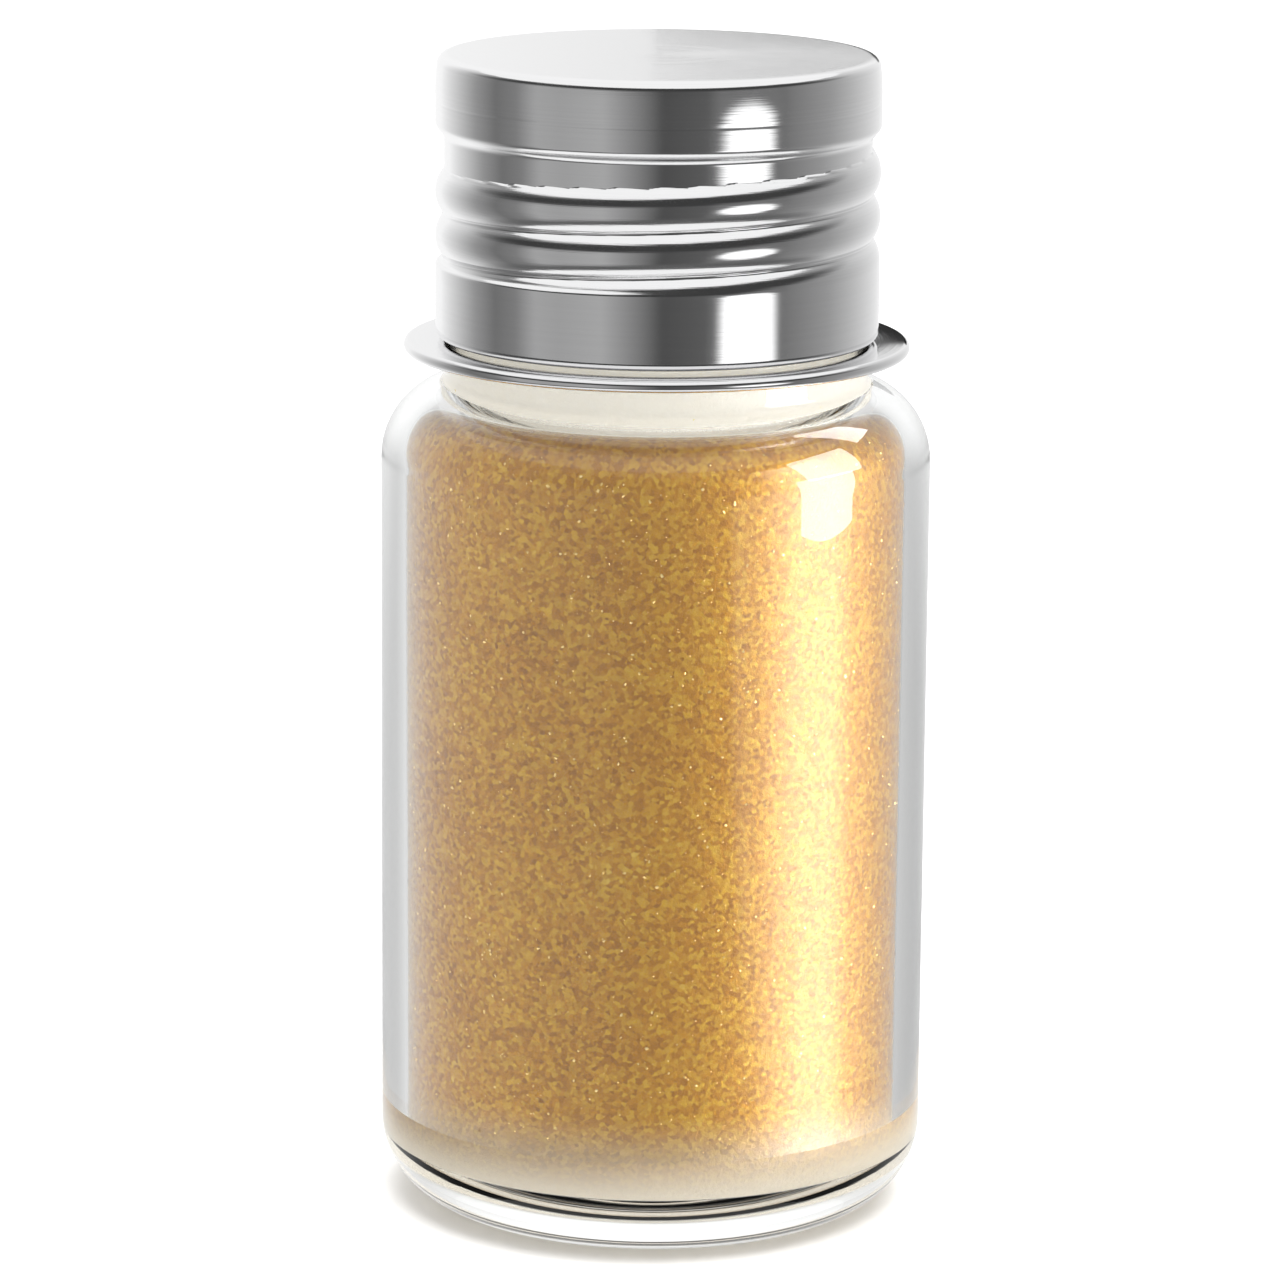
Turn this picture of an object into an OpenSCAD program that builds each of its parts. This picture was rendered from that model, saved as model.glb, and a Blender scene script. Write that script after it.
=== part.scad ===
// Small glass sample vial with an aluminium screw cap, a loose collar on its neck and a fill of gold dust.
// Millimetres. The origin is at the centre of the base, and +Z runs up through the cap.

/* [Glass vial] */
// Outside diameter of the body
body_d = 22; // [21.5:0.5:24]
// Thickness of the body wall
wall_t = 1; // [0.9:0.05:1.5]
// Height at which the straight wall ends and the shoulder begins
shoulder_z = 30.6; // [20:0.1:45]
// Outside radius of the shoulder's arc
shoulder_r = 3.2; // [2.9:0.1:3.4]
// Radius of the rounded heel
heel_r = 3.3; // [2.5:0.1:3.6]
// Height of the inside floor above the table
floor_z = 2.45; // [2:0.05:3]
// Radius of the corner between the inside floor and the wall
floor_corner_r = 1.6; // [1:0.1:2]
// Height of the hollow pushed up into the middle of the base
push_up_h = 0.7; // [0.3:0.05:1]
// Outside diameter of the neck under the collar
neck_d = 16.8; // [16.6:0.1:17]
// Diameter of the neck's bore
bore_d = 13.8; // [12:0.1:14]
// Height from the shoulder's start to the ledge that carries the collar
ledge_h = 4.25; // [4:0.05:6]
// Outside diameter of the finish at the root of its thread
finish_d = 16; // [15.9:0.05:16.1]
// Outside diameter of the finish over its thread
thread_d = 16.9; // [16.7:0.05:16.95]

/* [Screw cap] */
// Outside diameter of the head, the thread beads and the lower band
cap_d = 17.7; // [17.6:0.05:17.9]
// Height of the cap
cap_h = 11.25; // [11:0.05:12]
// Thickness of the aluminium
cap_t = 0.25; // [0.2:0.01:0.28]
// Height of the plain lower band
band_h = 2.9; // [2.5:0.1:3]
// Height of the plain head
head_h = 2.7; // [2.5:0.1:3]
// Height of the curve that tucks in under the head
tuck_h = 0.6; // [0.4:0.1:0.7]
// Radius of the head's top edge
head_edge_r = 0.3; // [0.25:0.05:0.4]
// Radius of the rolled lower lip
lip_r = 0.35; // [0.3:0.01:0.4]
// Rise of the thread in one turn
pitch = 1.75; // [1.6:0.05:1.8]
// Depth of the valleys between the thread beads
valley_depth = 0.35; // [0.3:0.01:0.37]

/* [Collar] */
// Outside diameter of the collar
collar_d = 20.2; // [19:0.1:21]
// Thickness of the collar
collar_t = 0.5; // [0.4:0.05:0.6]

/* [Liner] */
// Thickness of the resilient pad
pad_t = 1.2; // [0.8:0.1:1.4]
// Thickness of the facing film
facing_t = 0.1; // [0.08:0.01:0.2]

/* [Gold] */
// How far up the inside of the shoulder the fill reaches, as a share of its height
fill_share = 0.93; // [0.1:0.01:0.97]
// Height of the mound in the middle of the fill above its edge
mound_h = 0.3; // [0:0.05:0.5]
// Number of loose flakes that lie on the fill
flake_count = 36; // [12:60]

/* [Hidden] */
$fn = 96;

// Running clearances
bore_gap = 0.06;      // collar on the finish, radial
collar_gap = 0.05;    // collar above the ledge
lip_gap = 0.1;        // cap's lip above the collar
seal_gap = 0.02;      // at each face of the liner
liner_gap = 0.12;     // liner inside the head, radial
fill_gap = 0.05;      // between the fill and the glass

// Radii of the glass
body_r = body_d / 2;
neck_r = neck_d / 2;
bore_r = bore_d / 2;
root_r = finish_d / 2;
ridge_r = thread_d / 2;
rest_r = body_r - heel_r;              // outer radius of the ring that the vial stands on
rest_w = 0.5;                          // width of that ring
shoulder_c = body_r - shoulder_r;      // radius at which the shoulder's arc is centred
inside_r = body_r - wall_t;
neck_fillet = 0.4;                     // outside, where the shoulder meets the neck
throat_r = shoulder_c - bore_r;        // inside, where the shoulder meets the bore
rim_r = 0.4;                           // rounding of the glass lip

// The fill, which follows the inside of the glass
fill_shoulder_r = shoulder_r - wall_t - fill_gap;
fill_up = fill_share * fill_shoulder_r;
fill_z = shoulder_z + fill_up;         // height of its edge
fill_edge_r = shoulder_c + sqrt(pow(fill_shoulder_r, 2) - pow(fill_up, 2));

// Heights, from the ledge up
ledge_z = shoulder_z + ledge_h;
collar_z = ledge_z + collar_gap;
cap_z = collar_z + collar_t + lip_gap;
cap_top_z = cap_z + cap_h;
pad_z = cap_top_z - cap_t - seal_gap - pad_t;
facing_z = pad_z - facing_t;
glass_top_z = facing_z - seal_gap;
band_top_z = cap_z + band_h;
head_z = cap_top_z - head_h;
tuck_z = head_z - tuck_h;

// The thread is a right-hand helix. Its crest passes the front, at 270 degrees, at this height.
crest_front_z = cap_z + 6.23;
cap_r = cap_d / 2;
valley_r = cap_r - valley_depth;
bead_arc_r = (pow(pitch / 2, 2) + pow(valley_depth, 2)) / (2 * valley_depth);
// The top bead turns from the back at 90 degrees, and fades out in its last stretch before 450 degrees
top_turn_start = 90;
fade_start = 385;
fade_end = 445;
cap_steps = 48;          // facets round the cap
cap_middle_r = 0.5;      // radius of the small flat disc in the middle of the head
thread_rows = 24;        // rows of facets up the thread

// The ridge on the glass, as angles on the same helix
ridge_start = -330;
ridge_end = 385;
ridge_step = 10;
ridge_fade = 40;
ridge_crest_w = 0.44;
ridge_base_w = 1.2;
ridge_sink = 0.2;        // how far the ridge is rooted in the finish
ridge_end_t = 0.1;       // thickness left at the ridge's faded ends, still inside the finish

flake_t = 0.08;
flake_r_min = 0.25;
flake_r_max = 0.5;
golden_angle = 137.508;
golden_share = 0.618;    // step from one flake's size to the next, which mixes the sizes evenly

// Points of an arc about a centre, from angle a to angle b
function arc(c, r, a, b, steps) =
    [for (i = [0:steps]) let (t = a + (b - a) * i / steps) c + r * [cos(t), sin(t)]];

// Height of the thread's crest at an angle
function crest_z(a) = crest_front_z + pitch * (a - 270) / 360;

// The same direction, as an angle on the top turn of the helix
function on_top_turn(a) = a < top_turn_start ? a + 360 : a;

function smooth(t) = let (u = max(0, min(1, t))) u * u * (3 - 2 * u);

// Outside radius of a bead, at a height above or below its crest
function bead_r(s) = cap_r - bead_arc_r + sqrt(pow(bead_arc_r, 2) - pow(s, 2));

// Outside radius of the threaded zone at a height and an angle
function thread_r(z, a) =
    let (
        top = on_top_turn(a),
        above = z - crest_z(top),
        turns = above / pitch,
        offset = pitch * (turns - round(turns)),
        fade = 1 - smooth((top - fade_start) / (fade_end - fade_start))
    )
    above > pitch / 2 ? valley_r
    : above > -pitch / 2 ? valley_r + (bead_r(offset) - valley_r) * fade
    : bead_r(offset);

// Outside radius of the cap between the band and the head
function skirt_r(z, a) =
    z <= band_top_z ? cap_r
    : thread_r(z, a) + (cap_r - thread_r(z, a)) * smooth((z - tuck_z) / tuck_h);

// Outline of the glass, from the middle of the base up the outside and down the inside
module glass_outline() {
    fillet_c = neck_r + neck_fillet;
    fillet_dz = sqrt(pow(shoulder_r + neck_fillet, 2) - pow(fillet_c - shoulder_c, 2));
    fillet_a = atan2(fillet_dz, fillet_c - shoulder_c);
    push_up_r = rest_r - rest_w;
    push_up_arc = (pow(push_up_r, 2) + pow(push_up_h, 2)) / (2 * push_up_h);
    push_up_a = asin(push_up_r / push_up_arc);
    polygon(concat(
        arc([0, push_up_h - push_up_arc], push_up_arc, 90, 90 - push_up_a, 6),
        arc([rest_r, heel_r], heel_r, -90, 0, 14),
        arc([shoulder_c, shoulder_z], shoulder_r, 0, fillet_a, 14),
        arc([fillet_c, shoulder_z + fillet_dz], neck_fillet, fillet_a - 180, -180, 4),
        [[neck_r, ledge_z], [root_r, ledge_z]],
        arc([root_r - rim_r, glass_top_z - rim_r], rim_r, 0, 90, 5),
        arc([bore_r + rim_r, glass_top_z - rim_r], rim_r, 90, 180, 5),
        arc([shoulder_c, shoulder_z + shoulder_r - wall_t + throat_r], throat_r, -180, -90, 6),
        arc([shoulder_c, shoulder_z], shoulder_r - wall_t, 90, 0, 10),
        arc([inside_r - floor_corner_r, floor_z + floor_corner_r], floor_corner_r, 0, -90, 8),
        [[0, floor_z]]
    ));
}

// The raised thread on the finish, swept along the helix and faded at both ends
module glass_ridge() {
    steps = round((ridge_end - ridge_start) / ridge_step);
    base_r = root_r - ridge_sink;
    points = [for (i = [0:steps])
        let (
            a = ridge_start + i * ridge_step,
            ends = min(a - ridge_start, ridge_end - a) / ridge_fade,
            end_r = base_r + ridge_end_t,
            r = end_r + (ridge_r - end_r) * smooth(ends)
        )
        for (p = [[base_r, -ridge_base_w / 2], [r, -ridge_crest_w / 2], [r, ridge_crest_w / 2],
                  [base_r, ridge_base_w / 2]])
        [p[0] * cos(a), p[0] * sin(a), crest_z(a) + p[1]]];
    sides = [for (i = [0:steps - 1], j = [0:3])
        let (k = (j + 1) % 4)
        for (f = [[4 * i + j, 4 * i + 4 + k, 4 * i + 4 + j], [4 * i + j, 4 * i + k, 4 * i + 4 + k]]) f];
    last = 4 * steps;
    polyhedron(points, concat(sides, [[0, 2, 1], [0, 3, 2], [last, last + 1, last + 2], [last, last + 2, last + 3]]));
}

module glass_vial() {
    color([0.85, 0.92, 0.92, 0.35]) {
        rotate_extrude() glass_outline();
        glass_ridge();
    }
}

// Flat ring that lies on the glass ledge, with rounded edges
module neck_collar() {
    inner = root_r + bore_gap;
    edge = collar_t / 2;
    color([0.75, 0.75, 0.76])
        rotate_extrude()
            polygon(concat(
                [[inner, collar_z], [collar_d / 2 - edge, collar_z]],
                arc([collar_d / 2 - edge, collar_z + edge], edge, -90, 90, 8),
                [[inner, collar_z + collar_t]]
            ));
}

// The cap is one closed skin of rings of points: up the outside, over the top edge, then down the inside
module screw_cap() {
    thread_zs = [for (i = [1:thread_rows]) band_top_z + (tuck_z - band_top_z) * i / thread_rows];
    tuck_zs = [for (i = [1:4]) tuck_z + tuck_h * i / 4];
    skirt_zs = concat([band_top_z], thread_zs, tuck_zs);
    lip_out = arc([cap_r - lip_r, cap_z + lip_r], lip_r, -90, 0, 4);
    lip_in = arc([cap_r - lip_r, cap_z + lip_r], lip_r - cap_t, 0, -90, 2);
    edge_out = arc([cap_r - head_edge_r, cap_top_z - head_edge_r], head_edge_r, 0, 90, 4);
    edge_in_r = cap_r - cap_t;
    // Each ring is [radius, height, whether it follows the thread]
    rings = concat(
        [for (p = lip_out) [p[0], p[1], false]],
        [for (z = skirt_zs) [0, z, true]],
        [for (p = edge_out) [p[0], p[1], false]],
        [[cap_middle_r, cap_top_z, false], [cap_middle_r, cap_top_z - cap_t, false]],
        [[edge_in_r, cap_top_z - cap_t, false]],
        [for (i = [len(skirt_zs) - 1:-1:0]) [-cap_t, skirt_zs[i], true]],
        [for (p = lip_in) [p[0], p[1], false]]
    );
    n = cap_steps;
    count = len(rings);
    top_out = len(lip_out) + len(skirt_zs) + len(edge_out);
    points = [for (ring = rings, j = [0:n - 1])
        let (a = 360 * j / n, r = ring[2] ? skirt_r(ring[1], a) + ring[0] : ring[0])
        [r * cos(a), r * sin(a), ring[1]]];
    sides = [for (i = [0:count - 1], j = [0:n - 1])
        if (i != top_out)
            let (k = (i + 1) % count, m = (j + 1) % n)
            for (f = [[i * n + j, k * n + j, k * n + m], [i * n + j, k * n + m, i * n + m]]) f];
    top_disc = [for (j = [1:n - 2]) [top_out * n, top_out * n + j + 1, top_out * n + j]];
    under_disc = [for (j = [1:n - 2])
        [(top_out + 1) * n, (top_out + 1) * n + j, (top_out + 1) * n + j + 1]];
    color([0.78, 0.78, 0.79]) polyhedron(points, concat(sides, top_disc, under_disc));
}

module liner_pad() {
    color([0.93, 0.93, 0.9]) translate([0, 0, pad_z]) cylinder(h = pad_t, r = cap_r - cap_t - liner_gap);
}

module liner_facing() {
    color([0.85, 0.86, 0.88]) translate([0, 0, facing_z]) cylinder(h = facing_t, r = cap_r - cap_t - liner_gap);
}

// Height of the fill's surface at a radius
function fill_top(r) = fill_z + mound_h * (1 - pow(r / fill_edge_r, 2));

module gold_dust() {
    edge_a = asin(fill_share);
    corner = floor_corner_r - fill_gap;
    corner_c = [inside_r - floor_corner_r, floor_z + floor_corner_r];
    color([0.8, 0.6, 0.25])
        rotate_extrude()
            polygon(concat(
                [[0, floor_z + fill_gap]],
                arc(corner_c, corner, -90, 0, 8),
                arc([shoulder_c, shoulder_z], fill_shoulder_r, 0, edge_a, 6),
                [for (i = [5:-1:0]) let (r = fill_edge_r * i / 6) [r, fill_top(r)]]
            ));
}

// Loose flakes scattered on the fill in a sunflower spiral, each a thin disc
module gold_flakes() {
    spread_r = fill_edge_r - 2 * flake_r_max;
    color([0.95, 0.78, 0.35])
        for (i = [0:flake_count - 1]) {
            r = spread_r * sqrt((i + 0.5) / flake_count);
            size = flake_r_min + (flake_r_max - flake_r_min) * ((i * golden_share) % 1);
            rotate([0, 0, golden_angle * i])
                translate([r, 0, fill_top(r) + flake_t])
                    cylinder(h = flake_t, r = size, $fn = 16);
        }
}

glass_vial();
neck_collar();
screw_cap();
liner_pad();
liner_facing();
gold_dust();
gold_flakes();
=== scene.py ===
import bmesh
import bpy
import numpy as np
from mathutils import Matrix, Vector


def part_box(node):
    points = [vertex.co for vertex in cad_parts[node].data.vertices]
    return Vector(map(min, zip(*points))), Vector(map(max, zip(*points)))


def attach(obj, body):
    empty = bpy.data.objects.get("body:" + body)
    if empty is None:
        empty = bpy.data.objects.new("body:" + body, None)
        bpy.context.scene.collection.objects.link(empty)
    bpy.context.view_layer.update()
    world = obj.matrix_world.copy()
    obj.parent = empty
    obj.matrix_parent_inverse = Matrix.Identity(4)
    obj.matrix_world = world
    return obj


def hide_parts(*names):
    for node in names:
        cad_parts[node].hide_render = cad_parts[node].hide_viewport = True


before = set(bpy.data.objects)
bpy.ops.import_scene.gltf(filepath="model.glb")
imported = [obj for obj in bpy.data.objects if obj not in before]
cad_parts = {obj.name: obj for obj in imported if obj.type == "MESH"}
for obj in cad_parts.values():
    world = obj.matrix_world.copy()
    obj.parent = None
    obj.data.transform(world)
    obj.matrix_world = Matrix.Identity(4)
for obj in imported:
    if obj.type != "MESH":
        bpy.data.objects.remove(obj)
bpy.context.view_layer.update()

MM = 0.001

# ---------------------------------------------------------------- sizes, from the frame


def node_box(node):
    """Radius, lowest and highest height of a round CAD node, in millimetres."""
    low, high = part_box(node)
    return high.x / MM, low.z / MM, high.z / MM


body_r, _, glass_top_z = node_box("glass_vial")
collar_r, collar_low_z, collar_high_z = node_box("neck_collar")
cap_r, cap_low_z, cap_high_z = node_box("screw_cap")
liner_r, pad_low_z, pad_high_z = node_box("liner_pad")
_, facing_low_z, facing_high_z = node_box("liner_facing")
_, _, dust_high_z = node_box("gold_dust")

# Glass
wall_t = 1.0
shoulder_z = 30.6
shoulder_r = 3.2
heel_r = 3.3
floor_z = 2.45
floor_corner_r = 1.6
push_up_h = 0.7
rest_w = 0.5            # width of the ring that the vial stands on
neck_r = 8.4
bore_r = 6.9
finish_r = 8.0          # the finish is the threaded tube above the neck
ledge_z = collar_low_z - 0.05
neck_fillet = 0.4
rim_r = 0.4
inside_r = body_r - wall_t
shoulder_c = body_r - shoulder_r
throat_r = shoulder_c - bore_r
throat_c = (shoulder_c, shoulder_z + shoulder_r - wall_t + throat_r)
glass_lip_r = (bore_r + finish_r) / 2

# Glass thread
ridge_h = 0.45
ridge_half_w = 0.6
ridge_flank = 0.38
ridge_start = -330      # angles along the thread, in degrees
ridge_end = 385
ridge_fade = 40

# Cap
cap_t = 0.25
band_h = 2.9
band_fade = 0.22        # height over which the lower band turns into the thread
head_h = 2.7
tuck_h = 0.6
head_edge_r = 0.42
head_barrel = 0.06      # how far the head leans in at its top
press_depth = 0.012     # the line pressed round the head
press_w = 0.06
lip_r = 0.35
pitch = 1.75
valley_depth = 0.35
valley_round = 0.05
band_top_z = cap_low_z + band_h
head_z = cap_high_z - head_h
tuck_z = head_z - tuck_h
crest_front_z = cap_low_z + 6.23
valley_r = cap_r - valley_depth
bead_arc_r = ((pitch / 2) ** 2 + valley_depth ** 2) / (2 * valley_depth)
press_z = head_z + 0.9
crown_z = head_z + 1.3
top_turn_start = 90     # angles along the thread, in degrees
fade_start = 385
fade_end = 445

# Neck ring
collar_clearance = 0.06
collar_edge_r = 0.07    # the rounding of its inner edges

# Gold
mound_h = 0.3
fill_z = dust_high_z - mound_h + 0.1
fill_gap = 0.05         # air between the fill and the glass
settled_z = 4.0         # below this the finest dust has settled hard against the glass; the painted pale light near the floor is centred on it
settled_slope = 0.26    # rising towards the back of the vial, where the painted pale light reaches higher
settled_fade = 0.8      # height over which the dust comes off the glass
painted_pale_low = 1.9       # how far below settled_z the dust is wholly pale: painted light standing in for the bright clear foot
painted_pale_high = 2.3      # how far above it the dust is wholly gold
settled_glow = 0.3      # stands in for the light that reaches this dust through the clear foot
# the painted glow on the pale dust rises between these two depths, towards the back
glow_start_y = 4
glow_full_y = 9
veil_t = 0.04           # thickness of the finest dust that clings to the throat and the bore
veil_glow = 0.38        # stands in for the light that reaches the veil through the clear neck
contact = 0.01          # how far the finest dust is pressed into the glass, so that no air shows between
fill_wall_r = inside_r - fill_gap
fill_shoulder_r = shoulder_r - wall_t - fill_gap
fill_edge_a = np.degrees(np.arcsin((fill_z - shoulder_z) / fill_shoulder_r))
fill_edge_r = shoulder_c + fill_shoulder_r * np.cos(np.radians(fill_edge_a))
GRAIN_SEED = 11
FLAKE_SEED = 18

# ---------------------------------------------------------------- mesh tools


def arc(centre, r, start, end, steps):
    """Points of an arc, from one angle in degrees to another."""
    angles = np.radians(np.linspace(start, end, steps + 1))
    return [(centre[0] + r * np.cos(t), centre[1] + r * np.sin(t)) for t in angles]


def line(a, b, step):
    """Points from a up to but not including b, no further apart than step."""
    a, b = np.array(a, float), np.array(b, float)
    count = max(1, int(np.ceil(np.linalg.norm(b - a) / step)))
    return [tuple(a + (b - a) * i / count) for i in range(count)]


def smooth(t):
    t = np.clip(t, 0, 1)
    return t * t * (3 - 2 * t)


def angles_of(segments):
    return np.arange(segments) * 360 / segments


def turned(name, rings, segments, sharp=40):
    """A closed skin through rings. A ring is (radius, height), each a number or one value per segment, and
    radius 0 is a point on the axis. The last ring joins the first, unless one of them is on the axis."""
    a = np.radians(angles_of(segments))
    bm = bmesh.new()
    made = []
    for r, z in rings:
        if np.ndim(r) == 0 and r < 1e-6:
            made.append([bm.verts.new((0, 0, z * MM))])
            continue
        r = np.broadcast_to(r, segments)
        z = np.broadcast_to(z, segments)
        made.append([bm.verts.new(p) for p in zip(r * np.cos(a) * MM, r * np.sin(a) * MM, z * MM)])
    pairs = list(zip(made, made[1:]))
    if len(made[0]) > 1 and len(made[-1]) > 1:
        pairs.append((made[-1], made[0]))
    for low, high in pairs:
        if len(low) == 1 and len(high) == 1:
            continue
        for i in range(segments):
            j = (i + 1) % segments
            corners = [low[i % len(low)], low[j % len(low)], high[j % len(high)], high[i % len(high)]]
            bm.faces.new(list(dict.fromkeys(corners)))
    bmesh.ops.recalc_face_normals(bm, faces=bm.faces)
    return finish_mesh(name, bm, sharp)


def finish_mesh(name, bm, sharp=40):
    """Makes an object of a bmesh, smooth except where faces meet at more than the sharp angle."""
    limit = np.radians(sharp)
    for face in bm.faces:
        face.smooth = True
    for edge in bm.edges:
        if len(edge.link_faces) == 2 and edge.calc_face_angle() > limit:
            edge.smooth = False
    mesh = bpy.data.meshes.new(name)
    bm.to_mesh(mesh)
    bm.free()
    made = bpy.data.objects.new(name, mesh)
    bpy.context.scene.collection.objects.link(made)
    return made


def fit(piece, body, node, material):
    """Puts a piece on its body in place of its CAD node."""
    piece.data.materials.append(material)
    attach(piece, body)
    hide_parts(node)
    return piece


# ---------------------------------------------------------------- the helix that cap and glass share


def crest_z(a):
    return crest_front_z + pitch * (a - 270) / 360


def bead_r(s):
    """Outside radius of a bead at a height s above or below its crest, with the valley's bottom rounded."""
    to_valley = pitch / 2 - np.abs(s)
    eased = np.sqrt(to_valley ** 2 + valley_round ** 2)
    s = np.maximum(pitch / 2 - eased, 0)
    return cap_r - bead_arc_r + np.sqrt(bead_arc_r ** 2 - s ** 2)


def thread_r(z, a):
    """Outside radius of the cap's threaded zone at heights z and angles a."""
    top = np.where(a < top_turn_start, a + 360, a)
    above = z - crest_z(top)
    turns = above / pitch
    bead = bead_r(pitch * (turns - np.round(turns)))
    fade = 1 - smooth((top - fade_start) / (fade_end - fade_start))
    faded = valley_r + (bead - valley_r) * fade
    return np.where(above > pitch / 2, valley_r, np.where(above > -pitch / 2, faded, bead))


def skirt_r(z, a):
    """Outside radius of the cap between its lower band and its head."""
    zone = thread_r(z, a)
    into_head = smooth((z - tuck_z) / tuck_h)
    out_of_band = 1 - smooth((z - band_top_z) / band_fade)
    zone = zone + (cap_r - zone) * into_head
    return zone + (cap_r - zone) * out_of_band


def head_r(z):
    """Outside radius of the head: a slight barrel shape, with a pressed line round it under the crown."""
    crown = np.maximum(z - crown_z, 0) / (cap_high_z - head_edge_r - crown_z)
    press = np.exp(-((z - press_z) / press_w) ** 2)
    return cap_r - head_barrel * crown ** 2 - press_depth * press


def ridge_out(z, a):
    """How far the glass thread stands out of the finish at heights z and angles a."""
    out = np.zeros_like(a, float)
    for turn in (-360, 0, 360):
        angle = a + turn
        ends = smooth(np.minimum(angle - ridge_start, ridge_end - angle) / ridge_fade)
        beside = np.abs(z - crest_z(angle))
        out = np.maximum(out, ridge_h * ends * smooth((ridge_half_w - beside) / ridge_flank))
    return out


# ---------------------------------------------------------------- pieces


def make_glass():
    """The bottle, as one closed skin: the push-up, outside wall and finish, then back down the inside."""
    segments = 256
    a = angles_of(segments)
    rest_r = body_r - heel_r
    fillet_c = neck_r + neck_fillet
    fillet_dz = np.sqrt((shoulder_r + neck_fillet) ** 2 - (fillet_c - shoulder_c) ** 2)
    fillet_a = np.degrees(np.arctan2(fillet_dz, fillet_c - shoulder_c))
    push_up_r = rest_r - rest_w
    push_up_arc = (push_up_r ** 2 + push_up_h ** 2) / (2 * push_up_h)
    push_up_a = np.degrees(np.arcsin(push_up_r / push_up_arc))
    rings = arc((0, push_up_h - push_up_arc), push_up_arc, 90, 90 - push_up_a, 16)
    rings += arc((rest_r, heel_r), heel_r, -90, 0, 36)
    rings += arc((shoulder_c, shoulder_z), shoulder_r, 0, fillet_a, 36)
    rings += arc((fillet_c, shoulder_z + fillet_dz), neck_fillet, fillet_a - 180, -180, 8)
    rings += [(neck_r, ledge_z)]
    for z in np.arange(ledge_z, glass_top_z - rim_r, 0.06):
        rings.append((finish_r + ridge_out(z, a), z))
    rings += arc((finish_r - rim_r, glass_top_z - rim_r), rim_r, 0, 90, 8)
    rings += arc((bore_r + rim_r, glass_top_z - rim_r), rim_r, 90, 180, 8)
    rings += arc(throat_c, throat_r, -180, -90, 12)
    rings += arc((shoulder_c, shoulder_z), shoulder_r - wall_t, 90, 0, 24)
    rings += arc((inside_r - floor_corner_r, floor_z + floor_corner_r), floor_corner_r, 0, -90, 20)
    rings += [(0, floor_z)]
    return turned("glass_bottle", [(0, push_up_h)] + rings[1:], segments)


def make_cap():
    """The thin shell: up the outside from the lip, over the flat top, and back down the inside."""
    segments = 288
    a = angles_of(segments)
    skirt_zs = np.arange(band_top_z, head_z + 0.001, 0.05)
    edge = (head_r(cap_high_z - head_edge_r) - head_edge_r, cap_high_z - head_edge_r)
    lip = (cap_r - lip_r, cap_low_z + lip_r)
    rings = arc(lip, lip_r, -90, 0, 10)
    rings += line((cap_r, lip[1] + 0.1), (cap_r, band_top_z), 0.5)
    rings += [(skirt_r(z, a), z) for z in skirt_zs]
    rings += [(head_r(z), z) for z in np.arange(head_z + 0.05, edge[1], 0.03)]
    rings += arc(edge, head_edge_r, 0, 90, 10)
    rings += line((edge[0] - 0.1, cap_high_z), (0, cap_high_z), 0.5)
    rings += [(0, cap_high_z), (0, cap_high_z - cap_t)]
    rings += [(cap_r - head_edge_r, cap_high_z - cap_t), (cap_r - cap_t, cap_high_z - cap_t - 0.05)]
    rings += [(skirt_r(z, a) - cap_t, z) for z in skirt_zs[::-2]]
    rings += arc(lip, lip_r - cap_t, 0, -90, 4)
    return turned("threaded_cap", rings, segments)


def make_collar():
    """Flat ring with a fully rounded rim and small rounding inside."""
    inner = finish_r + collar_clearance + collar_edge_r
    low_z = collar_low_z + collar_edge_r
    high_z = collar_high_z - collar_edge_r
    rim = (collar_high_z - collar_low_z) / 2 - 0.001
    rings = arc((inner, low_z), collar_edge_r, 180, 270, 10)
    rings += arc((collar_r - rim, collar_low_z + rim), rim, 270, 360, 10)
    rings += arc((collar_r - rim, collar_high_z - rim), rim, 0, 90, 10)
    rings += arc((inner, high_z), collar_edge_r, 90, 180, 10)
    return turned("collar_ring", rings, 256, 60)


def make_liner_pad():
    """Foam disc, slightly crowned at its edge, with the ring that the glass lip has pressed into it."""
    soft = 0.2
    rs = np.linspace(liner_r - soft, 0, 60)
    rings = [(r, pad_low_z) for r in rs[::-1]]
    rings += arc((liner_r - soft, pad_low_z + soft), soft, -90, 0, 6)[1:]
    rings += arc((liner_r - soft, pad_high_z - soft), soft, 0, 90, 6)
    rings += [(r, pad_high_z - 0.04 * np.exp(-((r - glass_lip_r) / 0.4) ** 2)) for r in rs[1:]]
    return turned("foam_pad", rings, 160)


def make_liner_facing():
    """Film disc under the pad, with the witness ring of the glass lip."""
    rs = np.linspace(0, liner_r, 70)
    low = facing_low_z + 0.03 * np.exp(-((rs - glass_lip_r) / 0.3) ** 2)
    rings = list(zip(rs, low)) + [(liner_r, facing_high_z)] + [(r, facing_high_z) for r in rs[-2::-6]]
    rings += [(0, facing_high_z)]
    return turned("facing_film", rings, 160)


def grain(points, size, rng_seed):
    """Cheap smooth value noise on 3D points: one value from -1 to 1 per point, with features of that size."""
    rng = np.random.default_rng(rng_seed)
    table = rng.uniform(-1, 1, 4096)
    cell = np.floor(points / size).astype(int)
    part = points / size - cell
    part = part * part * (3 - 2 * part)
    total = np.zeros(len(points))
    for corner in np.ndindex(2, 2, 2):
        key = (cell + corner) @ np.array([73856093, 19349663, 83492791])
        weight = np.prod(np.where(corner, part, 1 - part), axis=1)
        total += weight * table[np.mod(key, 4096)]
    return total


def mound_z(r):
    return fill_z + mound_h * (1 - (r / fill_edge_r) ** 2)


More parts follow.
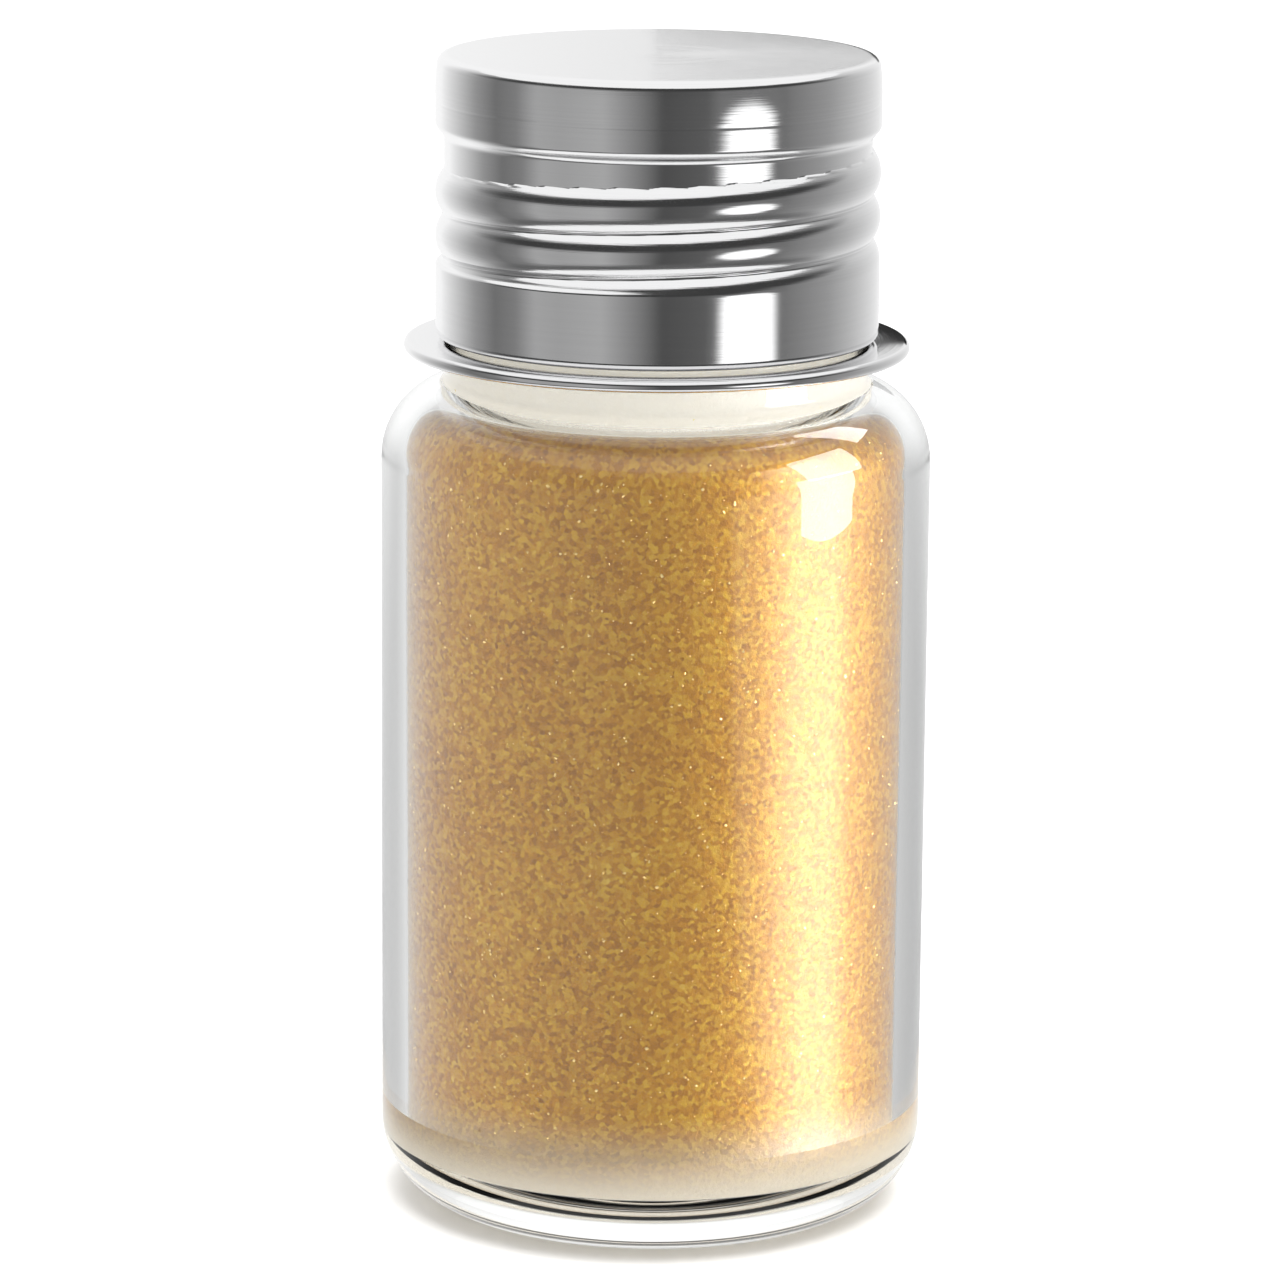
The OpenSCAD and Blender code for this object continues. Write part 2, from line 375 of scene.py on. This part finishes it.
def wall_outline(step):
    """The fill's outline from the middle of its floor, up the wall, to its edge under the throat."""
    rest_a = -70
    corner = floor_corner_r + contact
    corner_c = (inside_r - floor_corner_r, floor_z + floor_corner_r)
    rest = np.radians(rest_a)
    rest_z = corner_c[1] + corner * np.sin(rest)
    outline = line((0, rest_z), (corner_c[0] + corner * np.cos(rest), rest_z), 3 * step)
    outline += arc(corner_c, corner, rest_a, 0, int(1.2 * corner / step))[:-1]
    outline += line((fill_wall_r, corner_c[1] + step), (fill_wall_r, shoulder_z), step)
    shoulder_steps = int(np.radians(fill_edge_a) * fill_shoulder_r / step)
    return outline + arc((shoulder_c, shoulder_z), fill_shoulder_r, 0, fill_edge_a, shoulder_steps)


def veil_outline(step):
    """Points up the inside of the throat and the bore, from the fill's edge to just under the glass lip."""
    points = [(r, shoulder_z + np.sqrt((shoulder_r - wall_t) ** 2 - (r - shoulder_c) ** 2))
              for r in np.arange(fill_edge_r - step, shoulder_c, -step)]
    points += arc(throat_c, throat_r, -90, -180, 14)
    return points + line((bore_r, throat_c[1] + 0.1), (bore_r, glass_top_z - 1), 0.5)


def make_dust():
    """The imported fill: settled hard against the glass near its floor and a hair clear of it above, with a
    veil of the finest dust on the glass over it, and a grainy mound on top."""
    step = 0.16
    segments = 256
    mound_drop = 0.08
    a = np.radians(angles_of(segments))
    settled = settled_z + settled_slope * inside_r * np.maximum(np.sin(a), 0)
    rings = []
    for r, z in wall_outline(step):
        if floor_z + floor_corner_r < z < shoulder_z:
            pressed = 1 - smooth((z - settled) / settled_fade)
            rings.append((fill_wall_r + (fill_gap + contact) * pressed, z))
        elif z < fill_z:
            rings.append((r, z))
    veil = veil_outline(step)
    rings += [(r + contact, z + contact) for r, z in veil]
    rings += [(r - veil_t, z - veil_t) for r, z in veil[::-1] if r - veil_t < fill_edge_r - 2 * veil_t]
    for r in np.arange(rings[-1][0] - step, step, -step):
        z = mound_z(r)
        points = np.stack([r * np.cos(a), r * np.sin(a), np.full(segments, z)], axis=1)
        rough = 0.05 * grain(points, 0.5, GRAIN_SEED) + 0.03 * grain(points, 0.25, GRAIN_SEED + 1)
        rings.append((r, z + rough - mound_drop))
    rings.append((0, fill_z + mound_h - mound_drop))
    return turned("dust_fill", rings, segments, 60)


def wall_flakes(rng, count):
    """Centres, outward directions and sizes of flakes spread over the fill's side."""
    angle = rng.uniform(0, 2 * np.pi, count)
    height = rng.uniform(floor_z + 1.2, fill_z - 0.6, count)
    over = np.maximum(height - shoulder_z, 0)
    under = np.maximum(floor_z + floor_corner_r - height, 0)
    corner = floor_corner_r - fill_gap
    on_shoulder = fill_wall_r - fill_shoulder_r + np.sqrt(np.maximum(fill_shoulder_r ** 2 - over ** 2, 0))
    on_corner = fill_wall_r - corner + np.sqrt(np.maximum(corner ** 2 - under ** 2, 0))
    radius = np.where(under > 0, on_corner, np.where(over > 0, on_shoulder, fill_wall_r))
    outward = np.stack([np.cos(angle), np.sin(angle), np.zeros(count)], axis=1)
    centres = np.stack([radius * np.cos(angle), radius * np.sin(angle), height], axis=1)
    return centres, outward, 0.03 + 0.08 * rng.random(count) ** 3


def mound_flakes(rng, count):
    """Centres, outward directions and sizes of flakes that lie on the mound."""
    angle = rng.uniform(0, 2 * np.pi, count)
    r = (fill_edge_r - 0.5) * np.sqrt(rng.random(count))
    centres = np.stack([r * np.cos(angle), r * np.sin(angle), mound_z(r) + 0.03], axis=1)
    return centres, np.tile([0.0, 0.0, 1.0], (count, 1)), 0.06 + 0.3 * rng.random(count) ** 3


def unit(vectors):
    return vectors / np.linalg.norm(vectors, axis=1)[:, None]


def make_flakes():
    """Thousands of tiny bright plates that stand among the dust at the glass, and larger ones on top."""
    rng = np.random.default_rng(FLAKE_SEED)
    thick = 0.012
    sides = 5
    groups = [wall_flakes(rng, 3500), mound_flakes(rng, 1500)]
    centres, outward, size = (np.concatenate(parts) for parts in zip(*groups))
    count = len(centres)
    normal = unit(outward + rng.normal(0, 0.33, (count, 3)))
    side = unit(np.cross(normal, rng.normal(0, 1, (count, 3))))
    other = np.cross(normal, side)
    corners = []
    for k in range(sides):
        turn = 2 * np.pi * k / sides + rng.uniform(-0.4, 0.4, count)
        reach = size * rng.uniform(0.6, 1.0, count)
        across = (np.cos(turn) * reach)[:, None] * side
        corners.append(centres + across + (np.sin(turn) * reach)[:, None] * other)
    points = np.stack(corners + [centres + thick * normal, centres - thick * normal], axis=1)
    faces = []
    for k in range(sides):
        faces.append((k, (k + 1) % sides, sides))
        faces.append(((k + 1) % sides, k, sides + 1))
    faces = (np.arange(count)[:, None, None] * (sides + 2) + np.array(faces)).reshape(-1, 3)
    mesh = bpy.data.meshes.new("flakes")
    mesh.from_pydata((points.reshape(-1, 3) * MM).tolist(), [], faces.tolist())
    mesh.update()
    made = bpy.data.objects.new("bright_flakes", mesh)
    bpy.context.scene.collection.objects.link(made)
    return made


# ---------------------------------------------------------------- materials


class Nodes:
    """A short way to write a material's node tree."""

    def __init__(self, name):
        self.material = bpy.data.materials.new(name)
        self.material.use_nodes = True
        self.tree = self.material.node_tree
        self.shader = self.tree.nodes["Principled BSDF"]

    def add(self, kind, inputs=None, **settings):
        node = self.tree.nodes.new(kind)
        for key, value in settings.items():
            setattr(node, key, value)
        for key, value in (inputs or {}).items():
            self.put(node.inputs[key], value)
        return node

    def put(self, socket, value):
        if isinstance(value, bpy.types.NodeSocket):
            self.tree.links.new(value, socket)
        else:
            socket.default_value = value

    def set(self, **values):
        for key, value in values.items():
            self.put(self.shader.inputs[key.replace("_", " ")], value)

    def math(self, operation, a, b=0.0):
        node = self.add("ShaderNodeMath", operation=operation)
        self.put(node.inputs[0], a)
        self.put(node.inputs[1], b)
        return node.outputs[0]

    def ramp(self, factor, stops):
        node = self.add("ShaderNodeValToRGB")
        self.put(node.inputs[0], factor)
        elements = node.color_ramp.elements
        while len(elements) < len(stops):
            elements.new(0.5)
        for element, (place, colour) in zip(elements, stops):
            element.position = place
            element.color = colour if len(colour) == 4 else (*colour, 1)
        return node.outputs[0]

    def noise(self, vector, scale, detail=2.0, roughness=0.5):
        node = self.add("ShaderNodeTexNoise")
        self.put(node.inputs["Vector"], vector)
        node.inputs["Scale"].default_value = scale
        node.inputs["Detail"].default_value = detail
        node.inputs["Roughness"].default_value = roughness
        return node.outputs["Fac"]

    def bump(self, height, strength, distance):
        node = self.add("ShaderNodeBump")
        self.put(node.inputs["Height"], height)
        node.inputs["Strength"].default_value = strength
        node.inputs["Distance"].default_value = distance
        return node.outputs["Normal"]

    def mix(self, factor, a, b):
        node = self.add("ShaderNodeMix", data_type="RGBA")
        self.put(node.inputs["Factor"], factor)
        self.put(node.inputs[6], a)
        self.put(node.inputs[7], b)
        return node.outputs[2]

    def blend(self, value, start, end, low, high):
        """Goes smoothly from low to high as the value goes from start to end."""
        node = self.add("ShaderNodeMapRange", interpolation_type="SMOOTHSTEP")
        for key, number in (("From Min", start), ("From Max", end), ("To Min", low), ("To Max", high)):
            node.inputs[key].default_value = number
        self.put(node.inputs["Value"], value)
        return node.outputs[0]

    def place(self):
        return self.add("ShaderNodeTexCoord").outputs["Object"]

    def rings(self):
        """Coordinates that are the same all round the axis, for marks left by spinning."""
        split = self.add("ShaderNodeSeparateXYZ", {"Vector": self.place()})
        x, y, z = split.outputs
        across = self.math("SQRT", self.math("ADD", self.math("MULTIPLY", x, x), self.math("MULTIPLY", y, y)))
        return self.add("ShaderNodeCombineXYZ", {"X": across, "Y": z}).outputs[0]


def metal_material(name, colour, roughness):
    """Bright spun aluminium: fine turning lines, and small changes of polish."""
    m = Nodes(name)
    lines = m.noise(m.rings(), 16000, 2, 0.6)
    patches = m.noise(m.place(), 350, 3, 0.6)
    rough = m.ramp(patches, [(0.3, (roughness * 0.8,) * 3), (0.75, (roughness * 1.35,) * 3)])
    tint = m.ramp(lines, [(0.3, tuple(0.97 * c for c in colour)), (0.7, colour)])
    m.set(Metallic=1.0, Base_Color=tint, Roughness=rough, Normal=m.bump(lines, 0.12, 0.00002))
    return m.material


def glass_material():
    """Clear glass with the faint waviness of a blown wall."""
    m = Nodes("clear_glass")
    waves = m.noise(m.place(), 180, 1, 0.4)
    m.set(Base_Color=(0.985, 0.995, 0.99, 1), Roughness=0.0, IOR=1.47, Transmission_Weight=1.0)
    m.set(Normal=m.bump(waves, 0.03, 0.0002))
    return m.material


def dust_material():
    """Fine gold dust: warm and cool grains, each with its own gloss and tilt. Near the floor it is painted
    pale and given a painted glow, standing in for the light through the clear foot. Above the fill only a
    cream veil of the finest dust is left on the glass, with a painted glow standing in for the light through
    the clear neck."""
    m = Nodes("gold_dust_grain_painted_glow")
    place = m.place()
    _, depth, height = m.add("ShaderNodeSeparateXYZ", {"Vector": place}).outputs
    cells = m.add("ShaderNodeTexVoronoi", {"Vector": place, "Scale": 6000.0})
    pick = m.add("ShaderNodeSeparateColor", {"Color": cells.outputs["Color"]}).outputs
    fine = m.noise(place, 4200, 4, 0.7)
    broad = m.noise(place, 250, 3, 0.6)
    mixed = m.math("ADD", m.math("MULTIPLY", pick[0], 0.65), m.math("MULTIPLY", broad, 0.35))
    gold = m.ramp(mixed, [(0.0, (0.38, 0.14, 0.004)), (0.45, (0.6, 0.272, 0.01)), (0.85, (0.74, 0.43, 0.03)),
                          (1.0, (0.95, 0.76, 0.18))])
    # The pale mix below is painted light: paler dust towards the floor, reaching higher at the back, stands
    # in for the bright clear foot.
    back = m.math("MAXIMUM", depth, 0.0)
    level = m.math("SUBTRACT", height, m.math("MULTIPLY", back, settled_slope))
    settled = m.blend(level, (settled_z - painted_pale_low) * MM, (settled_z + painted_pale_high) * MM, 1.0, 0.0)
    pale = m.mix(settled, gold, (0.84, 0.76, 0.62, 1))
    veil = m.blend(height, (fill_z - 0.02) * MM, (fill_z + 0.02) * MM, 0.0, 1.0)
    cream = m.ramp(fine, [(0.3, (0.95, 0.9, 0.79)), (0.7, (0.98, 0.96, 0.9))])
    solid = m.math("SUBTRACT", m.math("SUBTRACT", 1.0, veil), settled)
    bumps = m.math("ADD", m.math("MULTIPLY", pick[2], 0.6), fine)
    m.set(Metallic=solid, Base_Color=m.mix(veil, pale, cream), Normal=m.bump(bumps, 0.8, 0.00008))
    m.set(Roughness=m.ramp(pick[1], [(0.0, (0.38,) * 3), (1.0, (0.58,) * 3)]))
    # Emission is painted light: a glow on the pale dust, stronger towards the back, and on the cream veil,
    # standing in for light through the clear foot and neck.
    glow = m.math("MULTIPLY", settled, m.blend(depth, glow_start_y * MM, glow_full_y * MM, 0.0, settled_glow))
    glow = m.math("ADD", glow, m.math("MULTIPLY", veil, veil_glow))
    m.set(Emission_Color=cream, Emission_Strength=glow)
    m.set(Coat_Weight=m.math("MULTIPLY", solid, 0.9), Coat_Roughness=0.25, Coat_IOR=1.6)
    return m.material


def flake_material():
    """Beaten gold flake: bright, with a slightly crumpled face."""
    m = Nodes("gold_flake_leaf")
    crumple = m.noise(m.place(), 6000, 2, 0.6)
    colour = m.ramp(crumple, [(0.3, (0.9, 0.62, 0.2)), (0.7, (1.0, 0.8, 0.38))])
    m.set(Metallic=1.0, Base_Color=colour, Roughness=0.22, Normal=m.bump(crumple, 0.3, 0.00003))
    return m.material


def foam_material():
    m = Nodes("liner_foam_cells")
    cells = m.add("ShaderNodeTexVoronoi", {"Vector": m.place(), "Scale": 6000.0}).outputs["Distance"]
    colour = m.ramp(cells, [(0.0, (0.78, 0.78, 0.74)), (0.6, (0.93, 0.93, 0.9))])
    m.set(Base_Color=colour, Roughness=0.85, Normal=m.bump(cells, 0.4, 0.00005))
    return m.material


def film_material():
    m = Nodes("liner_film_face")
    sheen = m.noise(m.place(), 900, 2, 0.5)
    colour = m.ramp(sheen, [(0.3, (0.78, 0.8, 0.83)), (0.7, (0.88, 0.89, 0.91))])
    m.set(Base_Color=colour, Roughness=0.25, Normal=m.bump(sheen, 0.1, 0.00005))
    return m.material


def floor_material():
    m = Nodes("pale_floor")
    mottle = m.noise(m.place(), 30, 3, 0.5)
    m.set(Base_Color=m.ramp(mottle, [(0.3, (0.93, 0.93, 0.93)), (0.7, (0.95, 0.95, 0.95))]), Roughness=0.9)
    return m.material


# ---------------------------------------------------------------- studio

# Brightness of a light tent by direction, in degrees: 0 is towards the camera and 90 to its right.
# Bare metal and glass mirror the first tent. The second lights what lies behind the glass.
MIRROR_TENT = [(-180, 0.86), (-174, 0.97), (-165, 1.0), (-148, 1.0), (-126, 0.66), (-106, 0.32),
               (-90, 0.17), (-76, 0.22), (-64, 0.4), (-50, 0.37), (-28, 0.42), (-8, 0.2), (2, 0.08),
               (24, 0.11), (31, 0.18), (60, 0.18), (66, 0.17), (70, 0.2), (96, 0.33), (113, 0.48),
               (136, 0.7), (153, 0.85), (165, 0.95), (174, 0.78), (180, 0.86)]
INNER_TENT = [(-180, 0.45), (-165, 0.45), (-145, 0.6), (-120, 1.1), (-100, 1.15), (-83, 1.1),
              (-57, 0.95), (-33, 0.8), (-11, 0.7), (11, 0.68), (30, 0.75), (46, 1.3), (57, 3.3),
              (68, 5.4), (82, 5.0), (96, 1.9), (110, 1.0), (130, 0.65), (150, 0.5), (165, 0.45),
              (180, 0.45)]
# Oval panels on a tent: direction and height of the middle, half width, half height, softness of
# the edge, brightness. The last one is light that comes up from below.
MIRROR_PANELS = [(0, 115, 105, 45, 0.25, 0.05), (0, -115, 110, 45, 0.5, 0.12),
                 (46.5, 0, 15.5, 42, 0.2, 1.35), (172, 57, 9, 8.5, 0.1, 0.03)]
INNER_PANELS = [(180, 50, 40, 50, 0.5, 1.1), (-180, 50, 40, 50, 0.5, 1.1), (0, -400, 2000, 300, 0.1, 1.7)]
# Window panes: elevation and direction in degrees, and width
WINDOW_PANES = [(1, 74, 114), (24, 80, 88), (44, 118, 44)]
WINDOW_H = 72
WINDOW_DISTANCE = 165
WINDOW_AIM_Z = 32
WINDOW_POWER = 33       # watts per square metre
TENT_R = 170
TENT_LOW_Z = -160
INNER_LOW_Z = -700
TENT_HIGH_Z = 165


def tent_light(name, stops, panels):
    """Light of a tent: bands by direction, with soft-edged oval panels on them."""
    m = Nodes(name)
    x, y, z = m.add("ShaderNodeSeparateXYZ", {"Vector": m.place()}).outputs
    turn = m.math("DEGREES", m.math("ARCTAN2", x, m.math("MULTIPLY", y, -1.0)))
    share = m.math("ADD", m.math("DIVIDE", turn, 360), 0.5)
    top = max(value for _, value in stops)
    level = m.ramp(share, [((d + 180) / 360, (value / top,) * 3) for d, value in stops])
    level = m.math("MULTIPLY", level, top)
    for mid, mid_z, half, half_z, soft, value in panels:
        across = m.math("DIVIDE", m.math("SUBTRACT", turn, mid), half)
        up = m.math("DIVIDE", m.math("SUBTRACT", z, mid_z * MM), half_z * MM)
        reach = m.math("SQRT", m.math("ADD", m.math("MULTIPLY", across, across), m.math("MULTIPLY", up, up)))
        mask = m.blend(reach, 1 - soft, 1 + soft, 1, 0)
        change = m.math("MULTIPLY", mask, m.math("SUBTRACT", value, level))
        level = m.math("ADD", level, change)
    emit = m.add("ShaderNodeEmission", {"Strength": level})
    m.tree.links.new(emit.outputs[0], m.tree.nodes["Material Output"].inputs["Surface"])
    return m.material


def make_tent(name, radius, low_z, light):
    """A round light tent outside the view. The camera looks through it."""
    steps = 360
    a = np.radians(np.arange(steps) * 360 / steps)
    x, y = radius * np.sin(a) * MM, -radius * np.cos(a) * MM
    low = [(px, py, low_z * MM) for px, py in zip(x, y)]
    high = [(px, py, TENT_HIGH_Z * MM) for px, py in zip(x, y)]
    faces = [(i, (i + 1) % steps, steps + (i + 1) % steps, steps + i) for i in range(steps)]
    mesh = bpy.data.meshes.new(name)
    mesh.from_pydata(low + high, [], faces)
    mesh.materials.append(light)
    tent = bpy.data.objects.new(name, mesh)
    bpy.context.scene.collection.objects.link(tent)
    tent.visible_camera = False
    tent.visible_diffuse = False
    tent.visible_shadow = False
    return tent


def make_floor():
    """A pale floor 6 m wide. Metal and glass don't mirror it, because the tents reach below it instead."""
    half = 3.0
    mesh = bpy.data.meshes.new("floor")
    corners = [(-half, -half, 0), (half, -half, 0), (half, half, 0), (-half, half, 0)]
    mesh.from_pydata(corners, [], [(0, 1, 2, 3)])
    floor = bpy.data.objects.new("floor", mesh)
    bpy.context.scene.collection.objects.link(floor)
    mesh.materials.append(floor_material())
    floor.visible_glossy = False
    floor.visible_transmission = False


def make_world(strength):
    world = bpy.data.worlds.new("studio")
    bpy.context.scene.world = world
    world.use_nodes = True
    background = world.node_tree.nodes["Background"]
    background.inputs["Color"].default_value = (1, 1, 1, 1)
    background.inputs["Strength"].default_value = strength


def area_light(name, place, target, size, power):
    light = bpy.data.lights.new(name, "AREA")
    light.shape = "RECTANGLE"
    light.size, light.size_y = (s * MM for s in size)
    light.energy = power
    lamp = bpy.data.objects.new(name, light)
    bpy.context.scene.collection.objects.link(lamp)
    lamp.location = Vector(place) * MM
    towards = Vector(target) * MM - lamp.location
    lamp.rotation_euler = towards.to_track_quat("-Z", "Y").to_euler()
    lamp.visible_glossy = False
    lamp.visible_transmission = False
    lamp.visible_camera = False
    return lamp


def make_window(elevation, turn, width, piece):
    """One pane of a tall window, on a dome round the shoulder. It shows on one piece alone."""
    aim = (0, 0, WINDOW_AIM_Z)
    across, rise = np.radians((turn, elevation))
    flat = WINDOW_DISTANCE * np.cos(rise)
    middle = (flat * np.sin(across), -flat * np.cos(across), WINDOW_AIM_Z + WINDOW_DISTANCE * np.sin(rise))
    power = WINDOW_POWER * width * MM * WINDOW_H * MM
    lamp = area_light("window_softbox_%d" % elevation, middle, aim, (width, WINDOW_H), power)
    lamp.visible_glossy = True
    only = bpy.data.collections.new(lamp.name + "_receivers")
    only.objects.link(piece)
    lamp.light_linking.receiver_collection = only


def make_camera():
    """Long lens a little above the vial, rolled by under half a degree, as the reference view is."""
    distance = 240
    elevation = np.radians(12.56)
    aim = Vector((-0.57, 0, 23.02))
    back = Vector((0, -np.cos(elevation), np.sin(elevation)))
    camera = bpy.data.cameras.new("camera")
    camera.lens = 167.2
    camera.sensor_width = 36
    holder = bpy.data.objects.new("camera", camera)
    bpy.context.scene.collection.objects.link(holder)
    turn = (-back).to_track_quat("-Z", "Y").to_matrix().to_4x4()
    roll = Matrix.Rotation(np.radians(0.46), 4, "Z")
    holder.matrix_world = Matrix.Translation((aim + back * distance) * MM) @ turn @ roll
    bpy.context.scene.camera = holder


# ---------------------------------------------------------------- the scene

aluminium = metal_material("spun_aluminium", (0.9, 0.9, 0.905), 0.1)
collar_metal = metal_material("collar_aluminium", (0.86, 0.86, 0.865), 0.04)

bottle = fit(make_glass(), "vial", "glass_vial", glass_material())
fit(make_cap(), "cap", "screw_cap", aluminium)
fit(make_collar(), "collar", "neck_collar", collar_metal)
fit(make_liner_pad(), "liner", "liner_pad", foam_material())
fit(make_liner_facing(), "liner", "liner_facing", film_material())
fit(make_dust(), "vial", "gold_dust", dust_material())
fit(make_flakes(), "vial", "gold_flakes", flake_material())

make_floor()
mirror_light = tent_light("mirror_tent_light", MIRROR_TENT, MIRROR_PANELS)
inner_light = tent_light("inner_tent_light", INNER_TENT, INNER_PANELS)
make_tent("mirror_tent", TENT_R, TENT_LOW_Z, mirror_light).visible_transmission = False
make_tent("inner_tent", TENT_R + 5, INNER_LOW_Z, inner_light).visible_glossy = False
make_world(1.0)
area_light("overhead_softbox", (60, -80, 420), (0, 0, 20), (400, 400), 3.0)
for elevation, turn, width in WINDOW_PANES:
    make_window(elevation, turn, width, bottle)
make_camera()
bpy.context.scene.view_settings.view_transform = "Standard"
